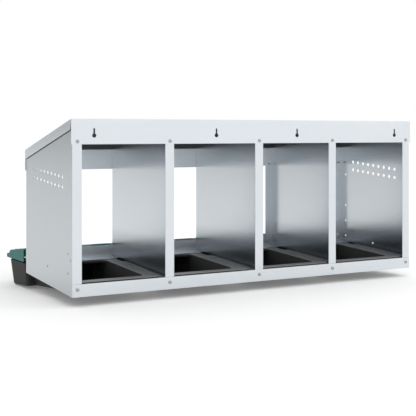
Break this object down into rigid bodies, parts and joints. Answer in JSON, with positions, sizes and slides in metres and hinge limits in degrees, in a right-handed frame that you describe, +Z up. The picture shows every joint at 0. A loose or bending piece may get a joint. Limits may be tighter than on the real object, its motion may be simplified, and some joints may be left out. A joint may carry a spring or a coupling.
{
  "type": "nesting box",
  "caption": "Wall-hung roll-away nesting box: sheet-metal housing with a sloping roof, slide-out nest trays with egg troughs, and hinged green trough lids.",
  "frame": {"origin": "centre of the bottom of the bounding box, under the middle of the row of nests", "axes": "+X along the row of nests, +Y from the open back, which hangs on the wall, to the windows and egg troughs, +Z up"},
  "size_m": [1.066, 0.4842, 0.454],
  "materials": {
    "sheet_metal": "galvanised sheet steel, pale grey, softly reflecting, with a faint rolled grain",
    "screw_steel": "zinc-plated steel, bright",
    "black_plastic": "moulded black polypropylene with a fine grain",
    "green_plastic": "moulded green polypropylene with a hammered relief"
  },
  "bodies": {
    "housing": {"side_panel_left": "sheet_metal", "side_panel_right": "sheet_metal", "divider_1": "sheet_metal", "divider_2": "sheet_metal", "divider_3": "sheet_metal", "roof_panel": "sheet_metal", "back_bottom_rail": "sheet_metal", "window_lip_rail": "sheet_metal", "tray_rail_left": "sheet_metal", "tray_rail_right": "sheet_metal", "screw_back_low_1": "screw_steel", "screw_back_high_1": "screw_steel", "screw_front_low_1": "screw_steel", "screw_front_high_1": "screw_steel", "screw_back_low_2": "screw_steel", "screw_back_high_2": "screw_steel", "screw_front_low_2": "screw_steel", "screw_front_high_2": "screw_steel", "screw_back_low_3": "screw_steel", "screw_back_high_3": "screw_steel", "screw_front_low_3": "screw_steel", "screw_front_high_3": "screw_steel", "screw_back_low_4": "screw_steel", "screw_back_high_4": "screw_steel", "screw_front_low_4": "screw_steel", "screw_front_high_4": "screw_steel", "screw_back_low_5": "screw_steel", "screw_back_high_5": "screw_steel", "screw_front_low_5": "screw_steel", "screw_front_high_5": "screw_steel"},
    "tray_1": {"nest_tray_1": "black_plastic", "lid_hinge_rod_1": "screw_steel"},
    "tray_2": {"nest_tray_2": "black_plastic", "lid_hinge_rod_2": "screw_steel"},
    "tray_3": {"nest_tray_3": "black_plastic", "lid_hinge_rod_3": "screw_steel"},
    "tray_4": {"nest_tray_4": "black_plastic", "lid_hinge_rod_4": "screw_steel"},
    "lid_1": {"egg_lid_1": "green_plastic"},
    "lid_2": {"egg_lid_2": "green_plastic"},
    "lid_3": {"egg_lid_3": "green_plastic"},
    "lid_4": {"egg_lid_4": "green_plastic"}
  },
  "joints": [
    {"name": "tray_slide_1", "type": "slide", "parent": "housing", "child": "tray_1", "axis": [0, 0.9985, 0.0541], "range_m": [0, 0.28]},
    {"name": "tray_slide_2", "type": "slide", "parent": "housing", "child": "tray_2", "axis": [0, 0.9985, 0.0541], "range_m": [0, 0.28]},
    {"name": "tray_slide_3", "type": "slide", "parent": "housing", "child": "tray_3", "axis": [0, 0.9985, 0.0541], "range_m": [0, 0.28]},
    {"name": "tray_slide_4", "type": "slide", "parent": "housing", "child": "tray_4", "axis": [0, 0.9985, 0.0541], "range_m": [0, 0.28]},
    {"name": "lid_hinge_1", "type": "hinge", "parent": "tray_1", "child": "lid_1", "pos_m": [-0.3975, 0.0961, 0.10197], "axis": [1, 0, 0], "range_deg": [0, 98]},
    {"name": "lid_hinge_2", "type": "hinge", "parent": "tray_2", "child": "lid_2", "pos_m": [-0.1325, 0.0961, 0.10197], "axis": [1, 0, 0], "range_deg": [0, 98]},
    {"name": "lid_hinge_3", "type": "hinge", "parent": "tray_3", "child": "lid_3", "pos_m": [0.1325, 0.0961, 0.10197], "axis": [1, 0, 0], "range_deg": [0, 98]},
    {"name": "lid_hinge_4", "type": "hinge", "parent": "tray_4", "child": "lid_4", "pos_m": [0.3975, 0.0961, 0.10197], "axis": [1, 0, 0], "range_deg": [0, 98]}
  ]
}
